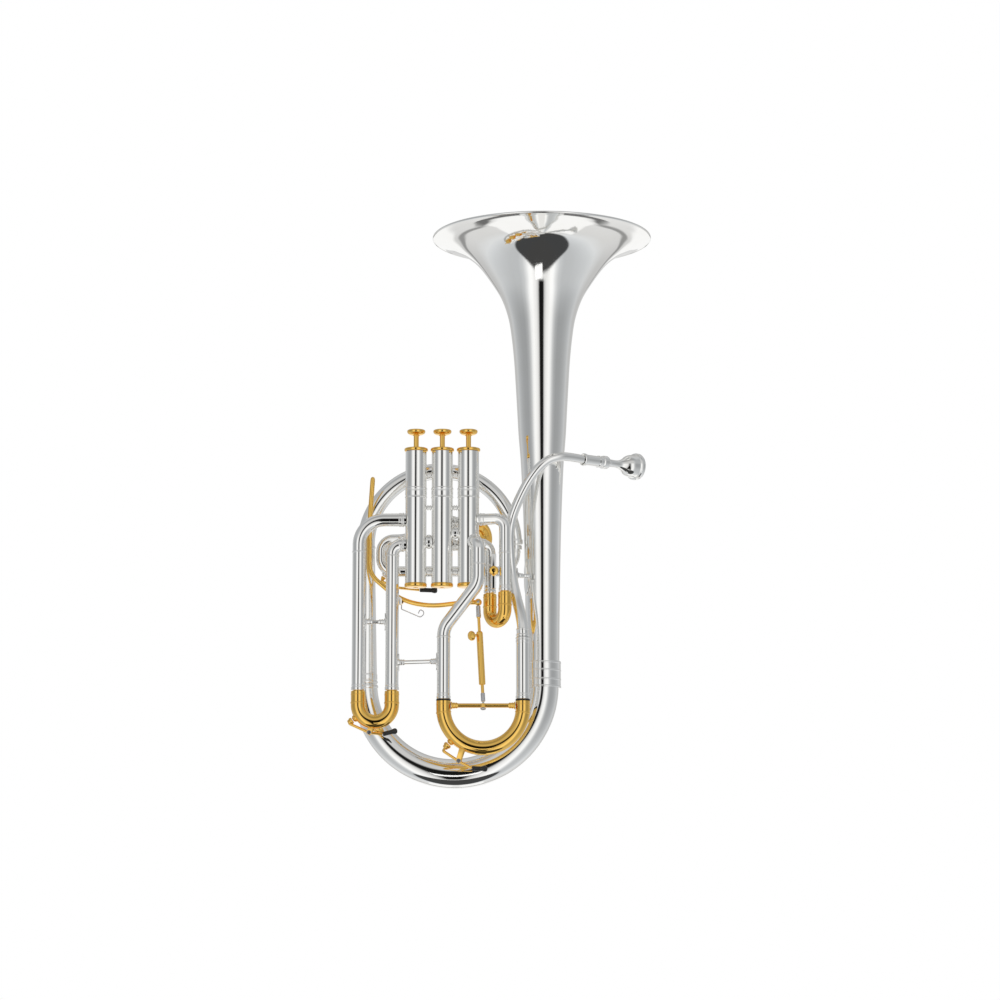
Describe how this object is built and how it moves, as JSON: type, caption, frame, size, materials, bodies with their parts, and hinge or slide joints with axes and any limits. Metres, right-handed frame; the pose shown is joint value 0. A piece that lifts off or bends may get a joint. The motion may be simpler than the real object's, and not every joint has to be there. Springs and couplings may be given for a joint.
{
  "type": "tenor horn",
  "caption": "Upright tenor horn with piston valves, flared bell, pull-out slides, trigger on the main tuning slide, water keys and a removable mouthpiece.",
  "frame": {"origin": "middle of the second valve casing, where the left hand holds the horn", "axes": "+Z along the bell towards its mouth, +X towards the mouthpiece, +Y towards the bell's side"},
  "size_m": [0.2798, 0.2056, 0.5152],
  "materials": {
    "silver_plate": "polished silver plate on brass",
    "gold_plate": "polished gold plate on brass",
    "steel": "ground stainless steel",
    "rubber": "matt black rubber"
  },
  "bodies": {
    "root": {"bell": "silver_plate", "bell_ferrule": "silver_plate", "bottom_bow": "silver_plate", "branch_pipe": "silver_plate", "exit_pipe": "silver_plate", "leadpipe": "silver_plate", "mouthpiece_receiver": "silver_plate", "bell_brace": "silver_plate", "valve_casing_1": "silver_plate", "top_cap_1": "gold_plate", "bottom_cap_1": "gold_plate", "valve_spring_1": "steel", "valve_casing_2": "silver_plate", "top_cap_2": "gold_plate", "bottom_cap_2": "gold_plate", "valve_spring_2": "steel", "valve_casing_3": "silver_plate", "top_cap_3": "gold_plate", "bottom_cap_3": "gold_plate", "valve_spring_3": "steel", "knuckle_1_2": "silver_plate", "knuckle_2_3": "silver_plate", "first_sleeve_front": "silver_plate", "first_sleeve_back": "silver_plate", "second_sleeve_upper": "silver_plate", "second_sleeve_lower": "silver_plate", "third_sleeve_left": "silver_plate", "third_sleeve_right": "silver_plate", "third_slide_brace": "silver_plate", "main_sleeve_left": "silver_plate", "main_sleeve_right": "silver_plate", "sleeve_brace": "silver_plate", "trigger_bracket": "silver_plate", "trigger_pivot_screw": "steel", "trigger_spring": "steel", "lyre_socket": "silver_plate"},
    "mouthpiece": {"mouthpiece": "silver_plate"},
    "valve_1": {"piston_1": "steel", "finger_button_1": "gold_plate"},
    "valve_2": {"piston_2": "steel", "finger_button_2": "gold_plate"},
    "valve_3": {"piston_3": "steel", "finger_button_3": "gold_plate"},
    "first_slide": {"first_slide": "gold_plate"},
    "second_slide": {"second_slide": "gold_plate"},
    "third_slide": {"third_slide": "gold_plate"},
    "main_slide": {"main_slide": "gold_plate", "main_slide_brace": "gold_plate"},
    "trigger": {"trigger_lever": "gold_plate"},
    "link": {"link_rod": "gold_plate", "link_foot_screw": "steel"},
    "link_thumb_screw": {"link_thumb_screw": "gold_plate"},
    "third_key": {"third_water_key": "gold_plate", "third_key_grip": "rubber"},
    "main_key": {"main_water_key": "gold_plate", "main_key_grip": "rubber"},
    "back_key": {"back_water_key": "gold_plate", "back_key_grip": "rubber"},
    "lyre_screw": {"lyre_screw": "gold_plate"}
  },
  "joints": [
    {"name": "mouthpiece_pull", "type": "slide", "parent": "root", "child": "mouthpiece", "axis": [0.788, 0.6157, 0], "range_m": [0, 0.025]},
    {"name": "valve_1_press", "type": "slide", "parent": "root", "child": "valve_1", "axis": [0, 0, -1], "range_m": [0, 0.0112], "stiffness_N_per_m": 120, "springref_m": -0.02, "deforming": ["valve_spring_1"]},
    {"name": "valve_2_press", "type": "slide", "parent": "root", "child": "valve_2", "axis": [0, 0, -1], "range_m": [0, 0.0112], "stiffness_N_per_m": 120, "springref_m": -0.02, "deforming": ["valve_spring_2"]},
    {"name": "valve_3_press", "type": "slide", "parent": "root", "child": "valve_3", "axis": [0, 0, -1], "range_m": [0, 0.0112], "stiffness_N_per_m": 120, "springref_m": -0.02, "deforming": ["valve_spring_3"]},
    {"name": "first_slide_pull", "type": "slide", "parent": "root", "child": "first_slide", "axis": [0, 0, -1], "range_m": [0, 0.025]},
    {"name": "second_slide_pull", "type": "slide", "parent": "root", "child": "second_slide", "axis": [0.7071, 0.7071, 0], "range_m": [0, 0.016]},
    {"name": "third_slide_pull", "type": "slide", "parent": "root", "child": "third_slide", "axis": [0, 0, -1], "range_m": [0, 0.06]},
    {"name": "main_slide_pull", "type": "slide", "parent": "root", "child": "main_slide", "axis": [0, 0, -1], "range_m": [0, 0.0145], "stiffness_N_per_m": 60, "springref_m": -0.08},
    {"name": "trigger_swing", "type": "hinge", "parent": "root", "child": "trigger", "pos_m": [-0.0385, 0.011, -0.077], "axis": [0, 1, 0], "range_deg": [0, 11.8]},
    {"name": "link_swing", "type": "hinge", "parent": "main_slide", "child": "link", "pos_m": [0.0377, -0.012, -0.1752], "axis": [0, 1, 0], "range_deg": [-1.5, 0.2]},
    {"name": "link_thumb_screw_turn", "type": "hinge", "parent": "link", "child": "link_thumb_screw", "pos_m": [0.0316, -0.0057, -0.1106], "axis": [-0.7804, -0.603, -0.1655], "continuous": true},
    {"name": "third_key_tilt", "type": "hinge", "parent": "third_slide", "child": "third_key", "pos_m": [-0.0655, 0, -0.1986], "axis": [0, -1, 0], "range_deg": [0, 8], "stiffness_Nm_per_rad": 0.05, "springref_deg": -28.65},
    {"name": "main_key_tilt", "type": "hinge", "parent": "main_slide", "child": "main_key", "pos_m": [0.0156, -0.012, -0.2254], "axis": [0, -1, 0], "range_deg": [0, 10], "stiffness_Nm_per_rad": 0.05, "springref_deg": -28.65},
    {"name": "back_key_tilt", "type": "hinge", "parent": "root", "child": "back_key", "pos_m": [-0.0435, 0.0215, -0.063], "axis": [0, -1, 0], "range_deg": [0, 8], "stiffness_Nm_per_rad": 0.05, "springref_deg": -28.65},
    {"name": "lyre_screw_turn", "type": "hinge", "parent": "root", "child": "lyre_screw", "pos_m": [0.0472, -0.0059, -0.052], "axis": [0, -1, 0], "continuous": true}
  ],
  "couplings": [
    {"joint": "trigger_swing", "follows": "main_slide_pull", "rad_per_m": 14},
    {"joint": "link_swing", "follows": "main_slide_pull", "rad_per_m": -1.65}
  ]
}
